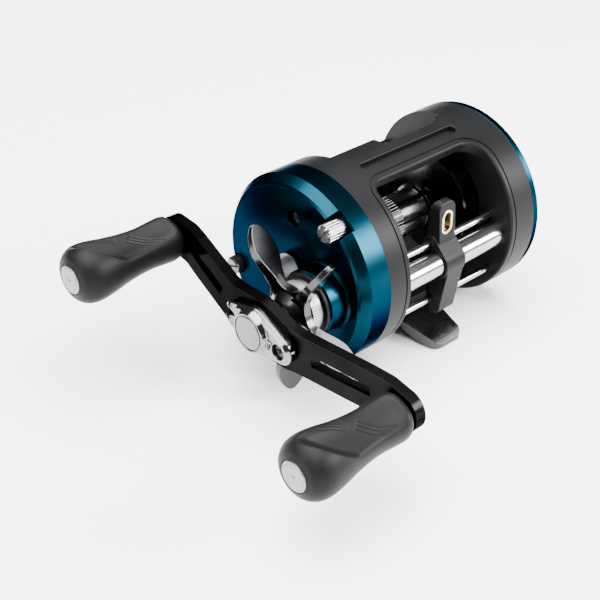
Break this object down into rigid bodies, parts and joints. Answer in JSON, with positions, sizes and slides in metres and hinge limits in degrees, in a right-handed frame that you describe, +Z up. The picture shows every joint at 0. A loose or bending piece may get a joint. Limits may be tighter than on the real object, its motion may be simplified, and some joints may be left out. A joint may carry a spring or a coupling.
{
  "type": "baitcasting reel",
  "caption": "Round baitcasting reel with a double-knob handle, star drag, level-wind line guide, knurled spool and a foot for a rod seat.",
  "frame": {"origin": "middle of the reel foot, on the plane that its toes rest on", "axes": "+X runs along the spool from the handle side to the far side, -Y is the front where the line leaves, +Z is up, away from the rod"},
  "size_m": [0.1409, 0.1142, 0.063],
  "materials": {
    "frame_black": "satin",
    "blue_anodised": "polished",
    "steel_polished": "polished",
    "steel_satin": "satin",
    "steel_dark": "satin",
    "aluminium_machined": "satin",
    "spool_dark": "polished",
    "handle_dark": "gloss",
    "knob_rubber": "matte",
    "nylon_black": "matte",
    "guide_plastic": "satin",
    "insert_gold": "polished",
    "gear_brass": "satin",
    "fibre": "matte",
    "seal_rubber": "matte"
  },
  "bodies": {
    "reel_body": {"frame": "frame_black", "reel_foot": "steel_satin", "foot_screws": "steel_dark", "handle_side_plate": "blue_anodised", "face_screw": "steel_dark", "gear_side_inner_plate": "nylon_black", "inner_plate_screws": "steel_satin", "far_side_cover": "blue_anodised", "far_cover_screws": "steel_satin", "brake_ring": "aluminium_machined", "spool_bearing_far": "steel_satin", "spool_bearing_near": "steel_satin", "drive_shaft_bearing": "steel_satin", "ratchet_dog": "steel_satin", "one_way_clutch": "steel_satin", "boss_seal": "seal_rubber", "worm_guard_tube": "steel_polished", "worm_bushings": "nylon_black", "guide_bar_upper": "steel_polished", "guide_bar_lower": "steel_polished"},
    "handle": {"handle_arm": "handle_dark", "handle_nut": "steel_satin", "handle_nut_cover": "steel_polished", "nut_cover_screw": "steel_satin", "drive_shaft": "steel_satin", "main_gear": "gear_brass", "drag_fibre_washers": "fibre", "drag_metal_washers": "steel_satin", "drag_spring_washer": "steel_satin", "ratchet_wheel": "steel_satin", "level_wind_drive_gear": "nylon_black", "clutch_inner_tube": "steel_polished", "knob_spindle_front": "steel_polished", "knob_spindle_rear": "steel_polished"},
    "star_drag": {"star_wheel": "steel_dark", "star_click_ring": "steel_polished"},
    "front_knob": {"knob_front": "knob_rubber", "knob_cap_front": "steel_satin"},
    "rear_knob": {"knob_rear": "knob_rubber", "knob_cap_rear": "steel_satin"},
    "spool": {"spool": "spool_dark", "spool_shaft": "steel_polished", "spool_cross_pin": "steel_polished", "brake_hub": "nylon_black", "brake_blocks": "nylon_black"},
    "yoke": {"clutch_yoke": "aluminium_machined", "yoke_springs": "steel_satin"},
    "pinion": {"pinion": "gear_brass"},
    "worm": {"worm_shaft": "steel_satin", "worm_gear": "nylon_black"},
    "line_guide": {"line_guide_carriage": "guide_plastic", "line_guide_insert": "insert_gold", "guide_pawl": "gear_brass", "pawl_cap": "steel_dark"},
    "cast_control": {"cast_control_cap": "steel_dark", "cast_tension_disc": "aluminium_machined"},
    "thumb_bar": {"thumb_bar": "frame_black"},
    "front_thumb_screw": {"thumb_screw_front": "steel_polished"},
    "rear_thumb_screw": {"thumb_screw_rear": "steel_dark"}
  },
  "joints": [
    {"name": "handle_spin", "type": "hinge", "parent": "reel_body", "child": "handle", "pos_m": [-0.06, -0.01427, 0.0308], "axis": [1, 0, 0], "continuous": true},
    {"name": "star_turn", "type": "hinge", "parent": "handle", "child": "star_drag", "pos_m": [-0.0574, -0.01427, 0.0308], "axis": [1, 0, 0], "range_deg": [-270, 90]},
    {"name": "front_knob_spin", "type": "hinge", "parent": "handle", "child": "front_knob", "pos_m": [-0.08, -0.06279, 0.02398], "axis": [1, 0, 0], "continuous": true},
    {"name": "rear_knob_spin", "type": "hinge", "parent": "handle", "child": "rear_knob", "pos_m": [-0.08, 0.03426, 0.03762], "axis": [1, 0, 0], "continuous": true},
    {"name": "spool_spin", "type": "hinge", "parent": "reel_body", "child": "spool", "pos_m": [0, 0.0006, 0.0342], "axis": [1, 0, 0], "continuous": true},
    {"name": "thumb_bar_press", "type": "slide", "parent": "reel_body", "child": "thumb_bar", "axis": [0, 0, -1], "range_m": [0, 0.003], "stiffness_N_per_m": 400, "springref_m": -0.001},
    {"name": "yoke_shift", "type": "slide", "parent": "reel_body", "child": "yoke", "axis": [-1, 0, 0], "range_m": [0, 0.0012]},
    {"name": "pinion_spin", "type": "hinge", "parent": "yoke", "child": "pinion", "pos_m": [-0.032, 0.0006, 0.0342], "axis": [1, 0, 0], "continuous": true},
    {"name": "worm_spin", "type": "hinge", "parent": "reel_body", "child": "worm", "pos_m": [0, -0.02451, 0.0306], "axis": [1, 0, 0], "continuous": true},
    {"name": "line_guide_slide", "type": "slide", "parent": "reel_body", "child": "line_guide", "axis": [1, 0, 0], "range_m": [-0.014, 0.014]},
    {"name": "cast_control_turn", "type": "hinge", "parent": "reel_body", "child": "cast_control", "pos_m": [-0.047, 0.0006, 0.0342], "axis": [1, 0, 0], "range_deg": [-360, 360]},
    {"name": "front_thumb_screw_turn", "type": "hinge", "parent": "reel_body", "child": "front_thumb_screw", "pos_m": [-0.042, -0.01633, 0.05313], "axis": [1, 0, 0], "range_deg": [-360, 360]},
    {"name": "rear_thumb_screw_turn", "type": "hinge", "parent": "reel_body", "child": "rear_thumb_screw", "pos_m": [-0.042, 0.02544, 0.02422], "axis": [1, 0, 0], "range_deg": [-360, 360]}
  ],
  "couplings": [
    {"joint": "spool_spin", "follows": "handle_spin", "ratio": -5.1},
    {"joint": "pinion_spin", "follows": "handle_spin", "ratio": -5.1},
    {"joint": "worm_spin", "follows": "handle_spin", "ratio": -2.4167},
    {"joint": "yoke_shift", "follows": "thumb_bar_press", "ratio": 0.4}
  ]
}
